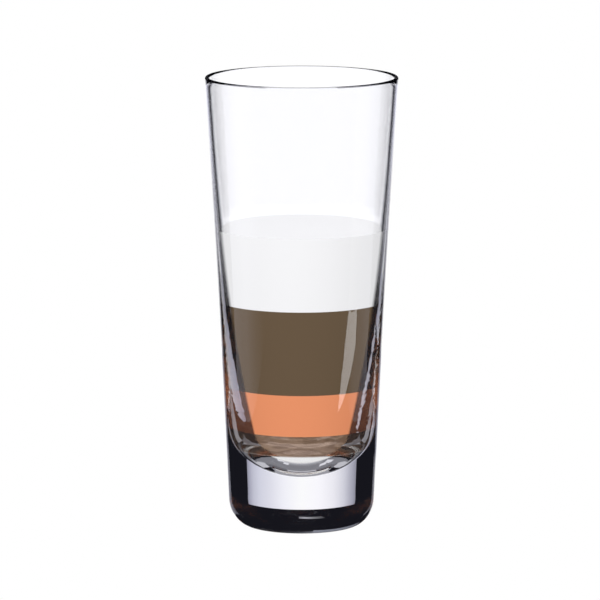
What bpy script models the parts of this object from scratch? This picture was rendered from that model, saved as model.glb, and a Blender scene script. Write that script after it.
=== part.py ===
"""A layered coffee eggnog in its tall, heavy-based tumbler.

Metres, +Z up. The origin is the middle of the foot, on the surface that the glass stands on.
The glass is turned about Z, and each layer of the drink is a turned solid that fills the hollow
between two levels.
"""

import math

import bpy

# The outside of the glass
HEIGHT = 0.164
RIM_RADIUS = 0.035
FOOT_RADIUS = 0.026  # where the side's line would meet the table, before the foot is rounded
FLARE = 0.23  # how far the side bows in between foot and rim, as a share of the taper
HEEL_WIDTH = 0.0078
HEEL_HEIGHT = 0.0098

# The hollow: a thin wall at the rim that thickens into a solid base
RIM_WALL = 0.0016
BASE_WALL = 0.00975  # beside the top of the round bowl that ends the hollow
WALL_POWER = 2.9  # the thickening starts slowly and ends fast
BOWL_TOP = 0.0338

# The levels of the drink, bottom to top, measured from the table
LIQUEUR_TOP = 0.0360
EGGNOG_TOP = 0.0513
COFFEE_TOP = 0.0822
CREAM_TOP = 0.1090
GAP = 0.0003  # between the drink and the glass, and between one layer and the next

TURN_STEPS = 64
WALL_STEP = 0.006  # height of one facet on the walls
BOWL_STEPS = 9
HEEL_STEPS = 8
RIM_STEPS = 6
MERGE_DISTANCE = 0.00001
SHARP_ANGLE = math.radians(35)

WALL_SLOPE_SPAN = 0.0001  # height over which a wall's slope is measured


def outer_radius(z):
    """Radius of the outside of the glass at height z, before the foot is rounded."""
    rise = z / HEIGHT
    return FOOT_RADIUS + (RIM_RADIUS - FOOT_RADIUS) * (rise - FLARE * rise * (1 - rise))


def wall_radius(z):
    """Radius of the hollow at height z, above the bowl."""
    depth = (HEIGHT - z) / (HEIGHT - BOWL_TOP)
    wall = RIM_WALL + (BASE_WALL - RIM_WALL) * depth**WALL_POWER
    return outer_radius(z) - wall


def bowl():
    """Centre height and radius of the ball that meets the wall, without a kink, at the bowl's top."""
    radius = wall_radius(BOWL_TOP)
    slope = (wall_radius(BOWL_TOP + WALL_SLOPE_SPAN) - radius) / WALL_SLOPE_SPAN
    return BOWL_TOP + slope * radius, radius * math.hypot(1, slope)


def heights(low, high):
    """Heights from low to high, both included, about one wall facet apart."""
    count = max(1, round((high - low) / WALL_STEP))
    return [low + (high - low) * i / count for i in range(count + 1)]


def bowl_points(clearance):
    """The bowl's outline from its lowest point up to the wall, this far inside the glass."""
    centre, radius = bowl()
    end = math.acos((centre - BOWL_TOP) / radius)
    angles = [end * i / BOWL_STEPS for i in range(BOWL_STEPS + 1)]
    reach = radius - clearance
    return [(reach * math.sin(a), centre - reach * math.cos(a)) for a in angles]


def glass_profile():
    """From the bottom of the hollow up the inside, over the rim, and down the outside to the foot."""
    points = bowl_points(clearance=0)
    rim_radius = RIM_WALL / 2
    rim_base = HEIGHT - rim_radius
    points += [(wall_radius(z), z) for z in heights(BOWL_TOP, rim_base)[1:]]
    middle = (wall_radius(rim_base) + outer_radius(rim_base)) / 2
    half_wall = outer_radius(rim_base) - middle
    for i in range(1, RIM_STEPS + 1):
        a = math.pi * i / RIM_STEPS
        points.append((middle - half_wall * math.cos(a), rim_base + rim_radius * math.sin(a)))
    points += [(outer_radius(z), z) for z in reversed(heights(HEEL_HEIGHT, rim_base)[:-1])]
    for i in range(1, HEEL_STEPS + 1):
        a = math.pi / 2 * i / HEEL_STEPS
        z = HEEL_HEIGHT * (1 - math.sin(a))
        points.append((outer_radius(z) - HEEL_WIDTH * (1 - math.cos(a)), z))
    points.append((0, 0))
    return points


def layer_profile(low, high):
    """A layer with flat faces at low and high, whose side keeps the gap to the wall."""
    points = [(0, high)]
    points += [(wall_radius(z) - GAP, z) for z in reversed(heights(low, high))]
    points.append((0, low))
    return points


def bottom_layer_profile(high):
    """The lowest layer, which fills the bowl."""
    points = [(0, high)]
    points += [(wall_radius(z) - GAP, z) for z in reversed(heights(BOWL_TOP, high)[1:])]
    points += reversed(bowl_points(clearance=GAP))
    return points


def turned(name, profile, material, collection):
    """A solid made by turning a profile of (radius, height) points once round Z."""
    mesh = bpy.data.meshes.new(name)
    edges = [(i, i + 1) for i in range(len(profile) - 1)]
    mesh.from_pydata([(r, 0, z) for r, z in profile], edges, [])
    solid = bpy.data.objects.new(name, mesh)
    collection.objects.link(solid)
    screw = solid.modifiers.new("Turn", "SCREW")
    screw.axis = "Z"
    screw.angle = 2 * math.pi
    screw.steps = TURN_STEPS
    screw.render_steps = TURN_STEPS
    screw.use_merge_vertices = True
    screw.merge_threshold = MERGE_DISTANCE
    depsgraph = bpy.context.evaluated_depsgraph_get()
    turned_mesh = bpy.data.meshes.new_from_object(solid.evaluated_get(depsgraph))
    solid.modifiers.clear()
    solid.data = turned_mesh
    bpy.data.meshes.remove(mesh)
    turned_mesh.name = name
    turned_mesh.shade_smooth()
    turned_mesh.set_sharp_from_angle(angle=SHARP_ANGLE)
    turned_mesh.materials.append(material)
    return solid


def principled(name, colour, roughness, transmission=0.0, ior=1.45):
    """A Principled material from an 8-bit sRGB colour."""
    def linear(channel):
        value = channel / 255
        return value / 12.92 if value <= 0.04045 else ((value + 0.055) / 1.055) ** 2.4

    material = bpy.data.materials.new(name)
    material.use_nodes = True
    shader = material.node_tree.nodes["Principled BSDF"]
    shader.inputs["Base Color"].default_value = (*[linear(c) for c in colour], 1)
    shader.inputs["Roughness"].default_value = roughness
    shader.inputs["Metallic"].default_value = 0.0
    shader.inputs["Transmission Weight"].default_value = transmission
    shader.inputs["IOR"].default_value = ior
    return material


def make_glass(collection):
    """The tumbler: clear soda-lime glass in one piece."""
    clear = principled("clear_glass", (252, 253, 255), 0.02, transmission=1.0, ior=1.5)
    return turned("glass", glass_profile(), clear, collection)


def make_drink(collection):
    """The four layers, from the bowl up to the level of the drink."""
    half = GAP / 2
    liqueur = principled("liqueur", (158, 128, 112), 0.1, transmission=0.4, ior=1.35)
    eggnog = principled("eggnog", (235, 149, 106), 0.3)
    coffee = principled("milky_coffee", (104, 87, 68), 0.3)
    cream = principled("cream", (246, 246, 247), 0.5)
    turned("liqueur_layer", bottom_layer_profile(LIQUEUR_TOP - half), liqueur, collection)
    turned("eggnog_layer", layer_profile(LIQUEUR_TOP + half, EGGNOG_TOP - half), eggnog, collection)
    turned("coffee_layer", layer_profile(EGGNOG_TOP + half, COFFEE_TOP - half), coffee, collection)
    turned("cream_layer", layer_profile(COFFEE_TOP + half, CREAM_TOP), cream, collection)


for leftover in list(bpy.data.objects):
    bpy.data.objects.remove(leftover)

coffee_eggnog = bpy.data.collections.new("coffee_eggnog")
bpy.context.scene.collection.children.link(coffee_eggnog)
make_glass(coffee_eggnog)
make_drink(coffee_eggnog)
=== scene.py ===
"""The looks of a layered coffee eggnog in its tall, heavy-based tumbler.

Metres, +Z up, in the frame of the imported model. The photograph looks along +Y.
"""

import math

import bpy
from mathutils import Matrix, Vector


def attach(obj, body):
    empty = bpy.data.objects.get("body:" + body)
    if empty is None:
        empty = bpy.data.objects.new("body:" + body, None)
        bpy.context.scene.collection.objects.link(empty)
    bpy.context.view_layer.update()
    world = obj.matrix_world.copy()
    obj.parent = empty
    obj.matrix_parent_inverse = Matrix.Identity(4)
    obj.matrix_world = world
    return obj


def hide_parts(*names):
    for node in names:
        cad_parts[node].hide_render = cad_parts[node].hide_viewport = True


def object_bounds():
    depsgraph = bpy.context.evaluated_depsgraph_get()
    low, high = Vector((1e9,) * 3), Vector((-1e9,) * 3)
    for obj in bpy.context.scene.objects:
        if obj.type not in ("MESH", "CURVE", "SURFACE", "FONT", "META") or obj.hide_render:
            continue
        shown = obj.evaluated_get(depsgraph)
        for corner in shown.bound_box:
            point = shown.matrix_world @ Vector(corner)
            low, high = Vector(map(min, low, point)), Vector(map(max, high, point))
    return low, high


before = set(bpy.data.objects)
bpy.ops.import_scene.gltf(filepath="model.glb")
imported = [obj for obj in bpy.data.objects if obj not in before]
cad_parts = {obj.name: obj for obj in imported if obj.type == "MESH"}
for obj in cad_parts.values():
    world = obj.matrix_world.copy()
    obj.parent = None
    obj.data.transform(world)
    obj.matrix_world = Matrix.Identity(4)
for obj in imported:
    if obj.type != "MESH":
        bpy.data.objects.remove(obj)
cad_low, cad_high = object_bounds()


# Tumbler
# One piece of pressed soda-lime glass: a thin, fire-polished rim, a wall that thickens into a solid
# base, and a hollow with a round bottom. It is drawn up ring by ring from the disc that it stands on.
HEIGHT = cad_high.z
RIM_RADIUS = 0.035
FOOT_RADIUS = 0.026  # where the side's line would meet the table, before the heel is rounded
FLARE = 0.23  # how far the side bows in between foot and rim, as a share of the taper
HEEL_WIDTH = 0.0078
HEEL_HEIGHT = 0.0098
RIM_WALL = 0.0016
BASE_WALL = 0.00975  # beside the top of the hollow's round bottom
WALL_POWER = 2.9  # the thickening starts slowly and ends fast
BOWL_TOP = 0.0338
SLOPE_SPAN = 0.0001  # height over which the wall's slope is measured
TURN_SEGMENTS = 192
WALL_RING = 0.002  # height from one ring of the walls to the next
BOWL_RINGS = 20
HEEL_RINGS = 16
RIM_RINGS = 12
SHARP_ANGLE = math.radians(35)


def outer_radius(z):
    """Radius of the outside at height z, before the heel is rounded."""
    rise = z / HEIGHT
    return FOOT_RADIUS + (RIM_RADIUS - FOOT_RADIUS) * (rise - FLARE * rise * (1 - rise))


def wall_radius(z):
    """Radius of the hollow at height z, above its round bottom."""
    depth = (HEIGHT - z) / (HEIGHT - BOWL_TOP)
    return outer_radius(z) - RIM_WALL - (BASE_WALL - RIM_WALL) * depth**WALL_POWER


def heights(low, high):
    """Heights from low to high, both included, about one ring of the wall apart."""
    count = max(1, round((high - low) / WALL_RING))
    return [low + (high - low) * i / count for i in range(count + 1)]


def bowl_rings(sunk):
    """The rings down the round bottom, sunk this deep in the glass, and its lowest point's height."""
    edge = wall_radius(BOWL_TOP)
    slope = (wall_radius(BOWL_TOP + SLOPE_SPAN) - edge) / SLOPE_SPAN
    centre, radius = BOWL_TOP + slope * edge, edge * math.hypot(1, slope)
    end = math.acos((centre - BOWL_TOP) / radius)
    angles = [end * i / BOWL_RINGS for i in range(BOWL_RINGS, 0, -1)]
    reach = radius + sunk
    return [(reach * math.sin(a), centre - reach * math.cos(a)) for a in angles], centre - reach


def glass_rings():
    """The rings from the disc it stands on up the outside, over the rim and down the inside."""
    rings = []
    for i in range(HEEL_RINGS + 1):
        a = math.pi / 2 * (1 - i / HEEL_RINGS)
        z = HEEL_HEIGHT * (1 - math.sin(a))
        rings.append((outer_radius(z) - HEEL_WIDTH * (1 - math.cos(a)), z))
    rim_base = HEIGHT - RIM_WALL / 2
    rings += [(outer_radius(z), z) for z in heights(HEEL_HEIGHT, rim_base)[1:]]
    middle = (wall_radius(rim_base) + outer_radius(rim_base)) / 2
    half_wall = outer_radius(rim_base) - middle
    for i in range(1, RIM_RINGS + 1):
        a = math.pi * i / RIM_RINGS
        rings.append((middle + half_wall * math.cos(a), rim_base + RIM_WALL / 2 * math.sin(a)))
    rings += [(wall_radius(z), z) for z in reversed(heights(BOWL_TOP, rim_base)[:-1])]
    bowl, _ = bowl_rings(sunk=0)
    return rings + bowl[1:]


def draw_up(name, rings, tip=None):
    """Extrudes and scales a disc from ring to ring, and draws it to a point at the height tip, if any."""
    bpy.ops.object.select_all(action="DESELECT")
    radius, height = rings[0]
    bpy.ops.mesh.primitive_circle_add(
        vertices=TURN_SEGMENTS, radius=radius, fill_type="NGON", location=(0, 0, height)
    )
    piece = bpy.context.object
    piece.name = piece.data.name = name
    bpy.ops.object.transform_apply()
    bpy.ops.object.mode_set(mode="EDIT")
    bpy.ops.mesh.select_mode(type="FACE")
    bpy.ops.mesh.select_all(action="SELECT")
    for (radius, height), (next_radius, next_height) in zip(rings, rings[1:]):
        bpy.ops.mesh.extrude_region_move(
            TRANSFORM_OT_translate={"value": (0, 0, next_height - height)}
        )
        growth = next_radius / radius
        bpy.ops.transform.resize(value=(growth, growth, 1))
    if tip is not None:
        _, last_height = rings[-1]
        bpy.ops.mesh.extrude_region_move(TRANSFORM_OT_translate={"value": (0, 0, tip - last_height)})
        bpy.ops.mesh.merge(type="CENTER")
    bpy.ops.mesh.select_all(action="SELECT")
    bpy.ops.mesh.normals_make_consistent(inside=False)
    bpy.ops.object.mode_set(mode="OBJECT")
    bpy.ops.object.shade_smooth_by_angle(angle=SHARP_ANGLE)
    return piece


def add_node(tree, kind, fields=None, inputs=None):
    """Adds a node, sets its fields, and gives each input a value or the socket that feeds it."""
    made = tree.nodes.new(kind)
    for field, value in (fields or {}).items():
        setattr(made, field, value)
    for socket, value in (inputs or {}).items():
        if isinstance(value, bpy.types.NodeSocket):
            tree.links.new(value, made.inputs[socket])
        else:
            made.inputs[socket].default_value = value
    return made


def colour(code):
    """An sRGB hex code as linear red, green, blue and alpha."""
    channels = [int(code[i : i + 2], 16) / 255 for i in (1, 3, 5)]
    return (*[c / 12.92 if c <= 0.04045 else ((c + 0.055) / 1.055) ** 2.4 for c in channels], 1)


def new_material(name):
    """An empty material and its node tree."""
    material = bpy.data.materials.new(name)
    material.use_nodes = True
    material.node_tree.nodes.clear()
    return material, material.node_tree


RIPPLE_WAVELENGTH = 0.004
RIPPLE_DEPTH = 0.00006
RIPPLES_END = 0.10  # height above which there are none
RIPPLES_FULL = 0.055
WEAK_SIDE = 0.35  # share of their depth that is left on the -X side


def patch_of_ripples(tree):
    """The normal of a skin that chilled unevenly: it ripples low in the hollow, most on its +X side."""
    place = add_node(tree, "ShaderNodeTexCoord")
    ripple = add_node(tree, "ShaderNodeTexNoise", inputs={
        "Vector": place.outputs["Object"],
        "Scale": 1 / RIPPLE_WAVELENGTH,
        "Detail": 1.0,
        "Distortion": 0.6,
    })
    parts = add_node(tree, "ShaderNodeSeparateXYZ", inputs={"Vector": place.outputs["Object"]})
    low = add_node(tree, "ShaderNodeMapRange", inputs={
        "Value": parts.outputs["Z"],
        "From Min": RIPPLES_END,
        "From Max": RIPPLES_FULL,
    })
    side = add_node(tree, "ShaderNodeMapRange", inputs={
        "Value": parts.outputs["X"],
        "From Min": -RIM_RADIUS,
        "From Max": RIM_RADIUS,
        "To Min": WEAK_SIDE,
    })
    reach = add_node(tree, "ShaderNodeMath", {"operation": "MULTIPLY"}, {
        0: low.outputs["Result"],
        1: side.outputs["Result"],
    })
    bump = add_node(tree, "ShaderNodeBump", inputs={
        "Strength": reach.outputs["Value"],
        "Distance": RIPPLE_DEPTH,
        "Height": ripple.outputs["Fac"],
    })
    return bump.outputs["Normal"]


# The outside's colour turns from the clear one to the second, which is painted shade, where it is met at a
# slant.
CLEAR_GLASS = "#FDFDFF"
PAINTED_EDGE_SHADE = "#6E7088"
EDGE_FROM = 0.70  # how slanted the outside is met where its tint starts, from 0 squarely to 1 along it
EDGE_FULL = 0.84
COLOUR_A, COLOUR_B, COLOUR_RESULT = 6, 7, 2  # the sockets of a Mix node that is set to colours


def soda_lime_glass(name, skin):
    """Clear pressed glass, which bends what is behind it and mirrors its surroundings at a slant."""
    material, tree = new_material(name)
    inputs = {
        "Base Color": colour(CLEAR_GLASS),
        "Roughness": 0.0,
        "IOR": 1.5,
        "Transmission Weight": 1.0,
    }
    if skin == "rippled":
        inputs["Normal"] = patch_of_ripples(tree)
    # Painted shade: the outside darkens to blue-grey where it is met at a slant, which draws the glass's
    # dark edges.
    if skin == "edge_shaded":
        slant = add_node(tree, "ShaderNodeLayerWeight", inputs={"Blend": 0.5})
        edge = add_node(tree, "ShaderNodeMapRange", inputs={
            "Value": slant.outputs["Facing"],
            "From Min": EDGE_FROM,
            "From Max": EDGE_FULL,
        })
        tint = add_node(tree, "ShaderNodeMix", {"data_type": "RGBA"}, {
            "Factor": edge.outputs["Result"],
            COLOUR_A: colour(CLEAR_GLASS),
            COLOUR_B: colour(PAINTED_EDGE_SHADE),
        })
        inputs["Base Color"] = tint.outputs[COLOUR_RESULT]
    shader = add_node(tree, "ShaderNodeBsdfPrincipled", inputs=inputs)
    add_node(tree, "ShaderNodeOutputMaterial", inputs={"Surface": shader.outputs["BSDF"]})
    return material


_, bowl_bottom = bowl_rings(sunk=0)
tumbler = draw_up("tumbler", glass_rings(), tip=bowl_bottom)
# The polished rim and foot give crisp, bright lines, and the hollow's ripples make the streaks beside
# the drink wander. The outside has shade painted on: blue-grey and darker towards the glass's edges.
tumbler.data.materials.append(soda_lime_glass("polished_rim_and_foot", skin="polished"))
tumbler.data.materials.append(soda_lime_glass("pressed_hollow", skin="rippled"))
tumbler.data.materials.append(soda_lime_glass("outside_with_painted_edge_shade", skin="edge_shaded"))
HOLLOW_SKIN, OUTSIDE_SKIN = 1, 2
for face in tumbler.data.polygons:
    outward = face.normal.x * face.center.x + face.normal.y * face.center.y
    if face.center.z < HEIGHT - RIM_WALL and outward < 0:
        face.material_index = HOLLOW_SKIN
    elif HEEL_HEIGHT < face.center.z < HEIGHT - RIM_WALL:
        face.material_index = OUTSIDE_SKIN
# Soft light passes the clear wall unchanged, so the drink is lit as if it stood free.
tumbler.visible_shadow = False
tumbler.visible_diffuse = False
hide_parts("glass")
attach(tumbler, "root")


# Liqueur
# A thin, grey-brown, half-clear spirit, poured first. It fills the round bottom of the hollow, where it
# has settled out clear, and reaches just into the glass, so that no gap shows between the two.
SUNK = 0.0001
LIQUEUR_TOP = 0.0360
CLEAR_BELOW = 0.0283  # height of the edge between the cloudy and the clear part
CLEARING = 0.0003  # how soft that edge is, to each side
LIQUEUR_DARK = "#997C67"
PAINTED_SWIRL_LIGHT = "#BC9D84"
CLOUDY_CLEARNESS = 0.5  # share of the light that passes the cloudy part
LIQUEUR_MIRROR = 0.8  # share of the wall's mirror where it is met at a slant
PAINTED_SWIRL_SIZE = 0.009  # of the paler swirls in the cloudy part, which are painted light
PAINTED_SWIRL_FLATNESS = 4
PAINTED_SWIRL_FROM, PAINTED_SWIRL_FULL = 0.42, 0.62  # the noise's values between which dark liquid turns pale
PAINTED_LENS_DEPTH = 0.0026  # of the white, matt lens of painted light under the edge, at its middle
PAINTED_LENS_HALF = 0.0098  # from its middle to its end
PAINTED_LENS_EDGE = 0.0005
# A liqueur's own IOR is 1.35 to 1.4, which all but hides the round bottom of the hollow. With this one
# it shows as strongly as the photograph has it.
LIQUEUR_IOR = 1.02
WALL_FROM = 0.243  # how slanted a liquid's side is met where the wall starts to mirror
WALL_FULL = 0.266
VALUE_A, VALUE_B = 2, 3  # the sockets of a Mix node that is left at values


def wall_mirror(tree, share):
    """How far the wall mirrors and hides the liquid: up to this share, where it is met at a slant."""
    slant = add_node(tree, "ShaderNodeLayerWeight", inputs={"Blend": 0.5})
    mirror = add_node(tree, "ShaderNodeMapRange", inputs={
        "Value": slant.outputs["Facing"],
        "From Min": WALL_FROM,
        "From Max": WALL_FULL,
        "To Max": share,
    })
    return mirror.outputs["Result"]


def half_clear_liqueur():
    """A thin spirit, clear at the bottom and cloudy above, with a lens and swirls of painted light."""
    material, tree = new_material("half_clear_liqueur")
    place = add_node(tree, "ShaderNodeTexCoord")
    parts = add_node(tree, "ShaderNodeSeparateXYZ", inputs={"Vector": place.outputs["Object"]})
    cloudy = add_node(tree, "ShaderNodeMapRange", inputs={
        "Value": parts.outputs["Z"],
        "From Min": CLEAR_BELOW - CLEARING,
        "From Max": CLEAR_BELOW + CLEARING,
    })
    stretch = add_node(tree, "ShaderNodeMapping", inputs={
        "Vector": place.outputs["Object"],
        "Scale": (1, 1, PAINTED_SWIRL_FLATNESS),
    })
    # Painted light: paler swirls in the cloudy part stand in for the bright pattern that the round bottom
    # bends into view.
    swirl = add_node(tree, "ShaderNodeTexNoise", inputs={
        "Vector": stretch.outputs["Vector"],
        "Scale": 1 / PAINTED_SWIRL_SIZE,
        "Detail": 2.0,
        "Distortion": 1.5,
    })
    painted_swirls = add_node(tree, "ShaderNodeMapRange", inputs={
        "Value": swirl.outputs["Fac"],
        "From Min": PAINTED_SWIRL_FROM,
        "From Max": PAINTED_SWIRL_FULL,
    })
    cloudy_tint_and_painted_swirls = add_node(tree, "ShaderNodeMix", {"data_type": "RGBA"}, {
        "Factor": painted_swirls.outputs["Result"],
        COLOUR_A: colour(LIQUEUR_DARK),
        COLOUR_B: colour(PAINTED_SWIRL_LIGHT),
    })
    tint = add_node(tree, "ShaderNodeMix", {"data_type": "RGBA"}, {
        "Factor": cloudy.outputs["Result"],
        COLOUR_A: colour("#FFFFFF"),
        COLOUR_B: cloudy_tint_and_painted_swirls.outputs[COLOUR_RESULT],
    })
    # Painted light: under the cloudy part, a white, matt lens lets no light through and stands in for the
    # bright light that the round bottom shows there.
    across = add_node(tree, "ShaderNodeMath", {"operation": "POWER"}, {0: parts.outputs["X"], 1: 2.0})
    rounded = add_node(tree, "ShaderNodeMath", {"operation": "MULTIPLY"}, {
        0: across.outputs["Value"],
        1: -PAINTED_LENS_DEPTH / PAINTED_LENS_HALF**2,
    })
    lens = add_node(tree, "ShaderNodeMath", {"operation": "ADD"}, {
        0: rounded.outputs["Value"],
        1: parts.outputs["Z"],
    })
    below_painted_lens = add_node(tree, "ShaderNodeMapRange", inputs={
        "Value": lens.outputs["Value"],
        "From Min": CLEAR_BELOW - PAINTED_LENS_DEPTH,
        "From Max": CLEAR_BELOW - PAINTED_LENS_DEPTH + PAINTED_LENS_EDGE,
        "To Min": 1.0,
        "To Max": 0.0,
    })
    clearness = add_node(tree, "ShaderNodeMix", inputs={
        "Factor": cloudy.outputs["Result"],
        VALUE_A: below_painted_lens.outputs["Result"],
        VALUE_B: CLOUDY_CLEARNESS,
    })
    shader = add_node(tree, "ShaderNodeBsdfPrincipled", inputs={
        "Base Color": tint.outputs[COLOUR_RESULT],
        "Roughness": 0.0,
        "IOR": LIQUEUR_IOR,
        "Transmission Weight": clearness.outputs["Result"],
        "Specular IOR Level": 0.0,
    })
    mirror = add_node(tree, "ShaderNodeMath", {"operation": "MULTIPLY"}, {
        0: wall_mirror(tree, LIQUEUR_MIRROR),
        1: cloudy.outputs["Result"],
    })
    wall = add_node(tree, "ShaderNodeBsdfGlossy", inputs={"Color": colour("#FFFFFF"), "Roughness": 0.0})
    mixed = add_node(tree, "ShaderNodeMixShader", inputs={
        0: mirror.outputs["Value"],
        1: shader.outputs["BSDF"],
        2: wall.outputs["BSDF"],
    })
    add_node(tree, "ShaderNodeOutputMaterial", inputs={"Surface": mixed.outputs["Shader"]})
    return material


liqueur_rings, liqueur_bottom = bowl_rings(sunk=SUNK)
liqueur_side = [(wall_radius(z) + SUNK, z) for z in reversed(heights(BOWL_TOP, LIQUEUR_TOP)[1:])]
liqueur = draw_up("liqueur", liqueur_side + liqueur_rings, tip=liqueur_bottom)
liqueur.data.materials.append(half_clear_liqueur())
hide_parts("liqueur_layer")
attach(liqueur, "root")


# Eggnog, coffee and cream
# Three smooth, cloudy liquids, poured slowly one over the other so that they stay apart with level
# faces. Each fills the hollow from wall to wall and reaches just into the glass and the layer below.
OVERLAP = 0.00005
EGGNOG_TOP = 0.0513
COFFEE_TOP = 0.0822
CREAM_TOP = 0.1090
OPEN_SKIN = 1
LEVEL = 0.9  # how upright a face's normal is where it belongs to the open surface
FROTH_BUBBLE = 0.0009  # real ones are finer, and wouldn't show
FROTH_DEPTH = 0.00018


def liquid(name, skin, roughness, mirror_share):
    """A cloudy liquid seen through the wall, which mirrors and hides it where it is met at a slant."""
    material, tree = new_material(name)
    shader = add_node(tree, "ShaderNodeBsdfPrincipled", inputs={
        "Base Color": colour(skin),
        "Roughness": roughness,
        "IOR": 1.35,
        "Specular IOR Level": 0.0,
    })
    wall = add_node(tree, "ShaderNodeBsdfGlossy", inputs={
        "Color": colour("#FFFFFF"),
        "Roughness": 0.0,
        "Normal": patch_of_ripples(tree),
    })
    mixed = add_node(tree, "ShaderNodeMixShader", inputs={
        0: wall_mirror(tree, mirror_share),
        1: shader.outputs["BSDF"],
        2: wall.outputs["BSDF"],
    })
    add_node(tree, "ShaderNodeOutputMaterial", inputs={"Surface": mixed.outputs["Shader"]})
    return material


def open_surface():
    """The level top of the cream: its froth of fine bubbles is matt and scatters the light."""
    material, tree = new_material("cream_froth")
    place = add_node(tree, "ShaderNodeTexCoord")
    froth = add_node(tree, "ShaderNodeTexVoronoi", inputs={
        "Vector": place.outputs["Object"],
        "Scale": 1 / FROTH_BUBBLE,
    })
    bump = add_node(tree, "ShaderNodeBump", inputs={
        "Strength": 0.4,
        "Distance": FROTH_DEPTH,
        "Height": froth.outputs["Distance"],
    })
    shader = add_node(tree, "ShaderNodeBsdfPrincipled", inputs={
        "Base Color": colour("#FDFDFE"),
        "Roughness": 0.6,
        "Specular IOR Level": 0.0,
        "Normal": bump.outputs["Normal"],
    })
    add_node(tree, "ShaderNodeOutputMaterial", inputs={"Surface": shader.outputs["BSDF"]})
    return material


def layer(name, low, high, material, node, top=None):
    """Draws up one layer between two levels, in place of its CAD node, with its own skin on an open top."""
    side = [(wall_radius(z) + SUNK, z) for z in heights(low, high)]
    piece = draw_up(name, side)
    piece.data.materials.append(material)
    if top:
        piece.data.materials.append(top)
        for face in piece.data.polygons:
            if face.normal.z > LEVEL:
                face.material_index = OPEN_SKIN
    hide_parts(node)
    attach(piece, "root")


# Beaten egg, milk and sugar: an even, warm orange that no light comes through.
eggnog = liquid("eggnog", "#EB956A", roughness=0.4, mirror_share=0.88)
layer("eggnog", LIQUEUR_TOP - OVERLAP, EGGNOG_TOP, eggnog, "eggnog_layer")
# Coffee with a little milk in it, which turns its black to an even, greyish brown.
coffee = liquid("milky_coffee", "#685744", roughness=0.4, mirror_share=0.95)
layer("coffee", EGGNOG_TOP - OVERLAP, COFFEE_TOP, coffee, "coffee_layer")
# Lightly whipped cream: the palest and mattest of the three.
cream = liquid("cream", "#F6F6F7", roughness=0.6, mirror_share=0.95)
layer("cream", COFFEE_TOP - OVERLAP, CREAM_TOP, cream, "cream_layer", top=open_surface())


# Camera
# The photograph's own view, from a little above the horizon. It was fitted to the outline, the rim's
# ellipse and the ring where the rounded heel starts.
CAMERA_DISTANCE = 2.3
CAMERA_RISE = math.radians(8.62)
PIXELS_PER_METRE = 2760.5
FRAME_PIXELS = 600
SENSOR = 0.036
CLIP_END = 50
AIM = Vector((-0.0006, 0, 0.0825))

camera_data = bpy.data.cameras.new("camera")
camera = bpy.data.objects.new("camera", camera_data)
bpy.context.scene.collection.objects.link(camera)
camera_data.sensor_width = SENSOR * 1000
camera_data.lens = PIXELS_PER_METRE * CAMERA_DISTANCE / FRAME_PIXELS * SENSOR * 1000
camera_data.clip_end = CLIP_END
back = Vector((0, -math.cos(CAMERA_RISE), math.sin(CAMERA_RISE)))
camera.location = AIM + back * CAMERA_DISTANCE
camera.rotation_mode = "QUATERNION"
camera.rotation_quaternion = back.to_track_quat("Z", "Y")
bpy.context.scene.camera = camera


# Floor
# A white table top that runs into the white behind it. Only the camera sees it: the glass gets its
# light and dark from the cards of the next sections.
FLOOR_SIZE = 12
FLOOR_HEIGHT = -0.0002  # just under the foot, so that the two faces stay apart


def plain_light(name, code, strength):
    """Light of one colour all over a card."""
    material, tree = new_material(name)
    light = add_node(tree, "ShaderNodeEmission", inputs={"Color": colour(code), "Strength": strength})
    add_node(tree, "ShaderNodeOutputMaterial", inputs={"Surface": light.outputs["Emission"]})
    return material


bpy.ops.object.select_all(action="DESELECT")
bpy.ops.mesh.primitive_plane_add(size=FLOOR_SIZE, location=(0, 0, FLOOR_HEIGHT))
floor = bpy.context.object
floor.name = "floor"
floor.data.materials.append(plain_light("floor_white", "#FFFFFF", strength=1.0))
floor.visible_transmission = False
floor.visible_glossy = False
floor.visible_diffuse = False


# Cards behind the glass
# Clear glass shows little but its surroundings. These are light and dark cards that only the glass sees,
# on a turntable that turns them round it with the camera. The backdrop also tilts with the line of sight.
BACKDROP_DISTANCE = 3.0
BACKDROP_HALF = 1.5
CARD_DISTANCE = 0.22
CARD_HALF = 0.134

turntable = bpy.data.objects.new("turntable", None)
bpy.context.scene.collection.objects.link(turntable)
facing = turntable.constraints.new("LOCKED_TRACK")
facing.target = camera
facing.track_axis = "TRACK_NEGATIVE_Y"
facing.lock_axis = "LOCK_Z"
sight_line = bpy.data.objects.new("sight_line", None)
bpy.context.scene.collection.objects.link(sight_line)
sight_line.location = AIM
following = sight_line.constraints.new("TRACK_TO")
following.target = camera
following.track_axis = "TRACK_NEGATIVE_Y"
following.up_axis = "UP_Z"


def set_card(name, corners, place, material, turn=0, glossy=True, transmission=True):
    """An upright card with four corners (x, z), turned about Z and put in place. Only glass sees it."""
    bpy.ops.object.select_all(action="DESELECT")
    bpy.ops.mesh.primitive_plane_add(size=1)
    card = bpy.context.object
    card.name = name
    for vertex, (x, z) in zip(card.data.vertices, corners):
        vertex.co = (x, 0, z)
    card.location = place
    card.rotation_euler.z = turn
    card.parent = turntable
    card.data.materials.append(material)
    card.visible_camera = False
    card.visible_diffuse = False
    card.visible_shadow = False
    card.visible_glossy = glossy
    card.visible_transmission = transmission
    return card


def upright(left, right, low, high):
    """The corners of an upright rectangle, in the order in which a new plane has them."""
    return ((left, low), (right, low), (left, high), (right, high))


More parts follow.
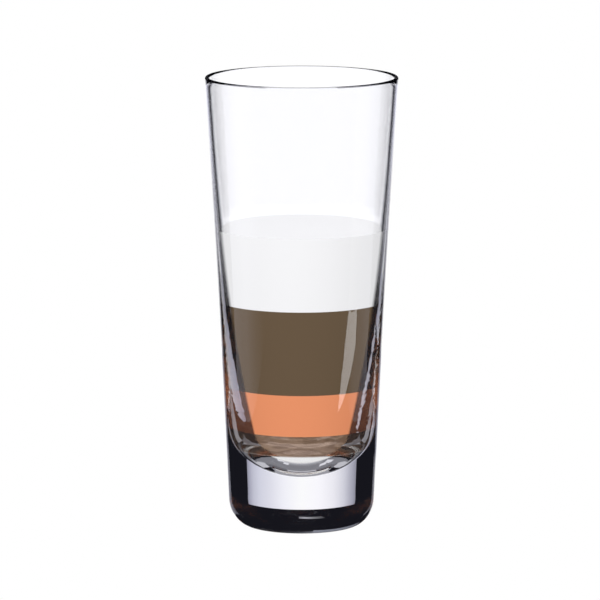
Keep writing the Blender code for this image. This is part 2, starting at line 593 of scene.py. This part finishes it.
def graded_light(name, start, end, stops, strength, axis="X"):
    """Light that changes along one axis of a card; stops are shares of the way from start to end."""
    material, tree = new_material(name)
    place = add_node(tree, "ShaderNodeTexCoord")
    parts = add_node(tree, "ShaderNodeSeparateXYZ", inputs={"Vector": place.outputs["Object"]})
    share = add_node(tree, "ShaderNodeMapRange", inputs={
        "Value": parts.outputs[axis],
        "From Min": start,
        "From Max": end,
    })
    ramp = add_node(tree, "ShaderNodeValToRGB", inputs={"Fac": share.outputs["Result"]})
    elements = ramp.color_ramp.elements
    while len(elements) < len(stops):
        elements.new(0.5)
    for element, (position, code) in zip(elements, stops):
        element.position = position
        element.color = colour(code)
    light = add_node(tree, "ShaderNodeEmission", inputs={
        "Color": ramp.outputs["Color"],
        "Strength": strength,
    })
    add_node(tree, "ShaderNodeOutputMaterial", inputs={"Surface": light.outputs["Emission"]})
    return material


backdrop_stops = (
    (0, "#404046"), (0.04, "#50505A"), (0.1, "#84848F"), (0.14, "#C0C0CC"), (0.2, "#FDFDFE"),
    (0.28, "#F4F4F5"), (0.5, "#F0F0F0"), (0.72, "#F4F4F5"), (0.8, "#FDFDFE"), (0.86, "#C0C0CC"),
    (0.9, "#84848F"), (0.95, "#50505A"), (1, "#6E6F7A"),
)
backdrop_light = graded_light(
    "backdrop_light", -BACKDROP_HALF, BACKDROP_HALF, backdrop_stops, strength=1.38
)
backdrop_corners = upright(-BACKDROP_HALF, BACKDROP_HALF, low=-0.604, high=0.34)
backdrop = set_card("backdrop", backdrop_corners, (0, BACKDROP_DISTANCE, 0), backdrop_light)
backdrop.parent = sight_line
# The thin upper wall shows the backdrop almost straight. The thick wall and the base bend the view onto
# a card close behind, and below that onto a wing on the left and a streak on the right.
card_stops = (
    (0, "#8E8E9A"), (0.05, "#A2A2B1"), (0.12, "#BABAC6"), (0.18, "#D2D2DC"), (0.28, "#EDECF2"),
    (0.39, "#FCFBFF"), (0.5, "#FFFFFF"), (0.61, "#F4F4FA"), (0.71, "#E1E1EB"), (0.82, "#D3D4E1"),
    (0.9, "#C2C3D1"), (0.97, "#A5A5B6"), (1, "#8F8F9C"),
)
card_light = graded_light("card_light", -CARD_HALF, CARD_HALF, card_stops, strength=1.06)
near_plane = (0, CARD_DISTANCE, 0)
set_card("card", upright(-CARD_HALF, CARD_HALF, low=-0.018, high=0.024), near_plane, card_light)
wing_stops = ((0, "#808092"), (0.3, "#A9A9BA"), (0.7, "#C6C6D4"), (0.9, "#E0E0EA"), (1, "#E8E8F0"))
wing_light = graded_light("wing_light", -0.25, -0.04, wing_stops, strength=0.9)
wing_corners = ((-0.245, -0.160), (-0.040, -0.044), (-0.140, -0.0185), (-0.040, -0.0185))
set_card("wing", wing_corners, near_plane, wing_light)
streak_light = plain_light("streak_light", "#C0C0CC", strength=0.9)
streak_corners = ((0.205, -0.150), (0.250, -0.165), (0.112, -0.024), (0.150, -0.024))
set_card("streak", streak_corners, near_plane, streak_light)


# Cards beside the glass
# Two large pale cards, one at each side, and a strip light in front of the right one. The wall mirrors
# them beside the drink. The strip is bright only low down, so its streak ends below the cream.
SIDE_DISTANCE = 0.9
SIDE_HALF = 0.5
SIDE_ANGLE = math.radians(80)
STRIP_DISTANCE = 0.7
STRIP_ANGLE = math.radians(67)


def around(angle, distance):
    """A place this far from the glass, at an angle from the camera's side, positive towards +X."""
    return (distance * math.sin(angle), -distance * math.cos(angle), 0)


side_corners = upright(-SIDE_HALF, SIDE_HALF, low=-0.175, high=0.8)
left_stops = ((0, "#F4F5FF"), (0.45, "#F4F5FF"), (0.7, "#A0A1AA"), (0.9, "#404146"), (1, "#000000"))
left_light = graded_light("left_light", -SIDE_HALF, SIDE_HALF, left_stops, strength=0.95)
left_place = around(-SIDE_ANGLE, SIDE_DISTANCE)
set_card("side_left", side_corners, left_place, left_light, turn=-SIDE_ANGLE, transmission=False)
right_stops = ((0, "#000000"), (0.35, "#55565C"), (0.5, "#C8C9D4"), (1, "#F4F5FF"))
right_light = graded_light("right_light", -SIDE_HALF, SIDE_HALF, right_stops, strength=0.8)
right_place = around(SIDE_ANGLE, SIDE_DISTANCE)
set_card("side_right", side_corners, right_place, right_light, turn=SIDE_ANGLE, transmission=False)
strip_place = around(STRIP_ANGLE, STRIP_DISTANCE)
strip_light = plain_light("strip_light", "#FFFFFF", strength=4.6)
strip_corners = ((-0.150, -0.1345), (0.185, -0.101), (0.010, -0.0842), (0.200, -0.0840))
set_card("strip", strip_corners, strip_place, strip_light, turn=STRIP_ANGLE, transmission=False)
# A dim card carries the strip on upwards, without a bright line on the cream.
strip_top_light = plain_light("strip_top_light", "#FFFFFF", strength=0.45)
strip_top_corners = ((0.010, -0.0842), (0.200, -0.0840), (0.010, 1.4), (0.200, 1.4))
set_card(
    "strip_top", strip_top_corners, strip_place, strip_top_light, turn=STRIP_ANGLE, transmission=False
)


# Cards under the glass
# Cards that lie below the table top. The round bottom of the hollow bends the view down onto them: a
# graded one in its middle, greyer ones and two pale spots round it. The last lights the rim and walls.
BENCH_HEIGHT = -0.13
BENCH_DEPTH = (-0.07, 0.14)
SPOT_RISE = 0.0005


def lying_card(name, width, depth, material, rise=0):
    """A card that lies at the bench's height, or this much above it, and spans this width and depth."""
    (left, right), (near, far) = width, depth
    place = (0, 0, BENCH_HEIGHT + rise)
    card = set_card(name, upright(left, right, near, far), place, material)
    for vertex in card.data.vertices:
        x, _, y = vertex.co
        vertex.co = (x, y, 0)
    card.visible_glossy = False


bench_stops = (
    (0, "#F4F4FA"), (0.18, "#E6E6EC"), (0.27, "#B4B4BA"), (0.36, "#94949A"), (0.45, "#828288"),
    (1, "#828288"),
)
bench_light = graded_light("bench_light", *BENCH_DEPTH, bench_stops, strength=1.0, axis="Y")
lying_card("bench", (-0.13, 0.13), BENCH_DEPTH, bench_light)
bench_edge = plain_light("bench_edge", "#C6C6CC", strength=1.0)
lying_card("bench_edge", (-0.05, 0.05), (0.14, 0.20), bench_edge)
bench_far = plain_light("bench_far", "#A0A0A6", strength=1.0)
lying_card("bench_far", (-0.06, 0.06), (0.24, 0.43), bench_far)
bench_spot = plain_light("bench_spot", "#E0E0E6", strength=1.0)
lying_card("bench_spot_left", (-0.080, -0.052), (-0.004, 0.024), bench_spot, rise=SPOT_RISE)
lying_card("bench_spot_right", (0.068, 0.104), (0.030, 0.072), bench_spot, rise=SPOT_RISE)
bench_side = plain_light("bench_side", "#6C6C72", strength=1.0)
lying_card("bench_side_left", (-0.15, -0.05), (0.14, 0.24), bench_side)
lying_card("bench_side_right", (0.05, 0.15), (0.14, 0.24), bench_side)
far_floor = plain_light("far_floor", "#FAFAFB", strength=1.2)
lying_card("far_floor", (-0.05, 0.05), (0.43, 0.75), far_floor)


# Cards for the foot
# The rounded heel bends the view far up behind the glass and turns it left to right. One card gives its
# bright line, and two the grey edge below that line, which starts at the right and fades to the left.
GLINT_DISTANCE = 3.2  # behind the backdrop, or views from above would show it as a dark bar
FOOT_EDGE_DISTANCE = 1.0
FOOT_EDGE_END = -0.12  # where the even card ends and the fading one starts
FOOT_FADE_END = 0.25

glint_stops = ((0, "#606066"), (0.45, "#B4B4BA"), (0.8, "#F4F5FF"), (1, "#C0C0C8"))
glint_light = graded_light("glint_light", -0.76, 0.08, glint_stops, strength=0.44)
glint_corners = ((-0.62, 0.557), (0.083, 0.541), (-0.764, 0.597), (0.083, 0.573))
set_card("foot_glint", glint_corners, (0, GLINT_DISTANCE, 0), glint_light, glossy=False)
foot_edge_place = (0, FOOT_EDGE_DISTANCE, 0)
foot_edge_light = plain_light("foot_edge_light", "#C6CADA", strength=0.45)
foot_edge_corners = ((-1.3, 0.82), (FOOT_EDGE_END, 0.42), (-1.3, 2.3), (FOOT_EDGE_END, 1.4))
set_card("foot_edge", foot_edge_corners, foot_edge_place, foot_edge_light, glossy=False)
foot_fade_stops = ((0, "#A8ABB6"), (0.25, "#7A7E88"), (0.5, "#5A5C66"), (1, "#34363C"))
foot_fade = graded_light(
    "foot_edge_end_light", FOOT_EDGE_END, FOOT_FADE_END, foot_fade_stops, strength=0.45
)
foot_fade_corners = upright(FOOT_EDGE_END, FOOT_FADE_END, low=0.53, high=1.4)
set_card("foot_edge_end", foot_fade_corners, foot_edge_place, foot_fade, glossy=False)


# Lamps
# Two large, soft lamps in front, the stronger one on the left. They light only the drink: the glass
# doesn't mirror them.
LAMP_SIZE = 0.8
LAMP_TARGET = Vector((0, 0, 0.08))


def lamp(name, place, power):
    """A round, soft lamp at this place that faces the drink."""
    data = bpy.data.lights.new(name, "AREA")
    data.shape = "DISK"
    data.size = LAMP_SIZE
    data.energy = power
    made = bpy.data.objects.new(name, data)
    bpy.context.scene.collection.objects.link(made)
    made.location = place
    made.rotation_mode = "QUATERNION"
    made.rotation_quaternion = (Vector(place) - LAMP_TARGET).to_track_quat("Z", "Y")
    made.visible_glossy = False
    made.visible_transmission = False


lamp("front_left", (-0.9, -1.3, 1.2), power=10.6)
lamp("front_right", (0.9, -1.3, 1.2), power=6.5)


# Surroundings
# White to the camera, a soft dome to the drink, and nearly black to the glass, whose dark edges and base
# come from what no card covers. Light crosses the thick base many times before it leaves it.
world = bpy.data.worlds.new("world")
bpy.context.scene.world = world
world.use_nodes = True
tree = world.node_tree
tree.nodes.clear()
path = add_node(tree, "ShaderNodeLightPath")
dark = add_node(tree, "ShaderNodeBackground", inputs={"Color": colour("#22222A"), "Strength": 0.5})
dome = add_node(tree, "ShaderNodeBackground", inputs={"Color": colour("#FFFFFF"), "Strength": 0.77})
white = add_node(tree, "ShaderNodeBackground", inputs={"Color": colour("#FFFFFF"), "Strength": 1.0})
unseen = add_node(tree, "ShaderNodeMixShader", inputs={
    0: path.outputs["Is Diffuse Ray"],
    1: dark.outputs["Background"],
    2: dome.outputs["Background"],
})
whole = add_node(tree, "ShaderNodeMixShader", inputs={
    0: path.outputs["Is Camera Ray"],
    1: unseen.outputs["Shader"],
    2: white.outputs["Background"],
})
add_node(tree, "ShaderNodeOutputWorld", inputs={"Surface": whole.outputs["Shader"]})

scene = bpy.context.scene
scene.view_settings.view_transform = "Standard"
scene.cycles.max_bounces = 24
scene.cycles.transmission_bounces = 24
scene.cycles.glossy_bounces = 16
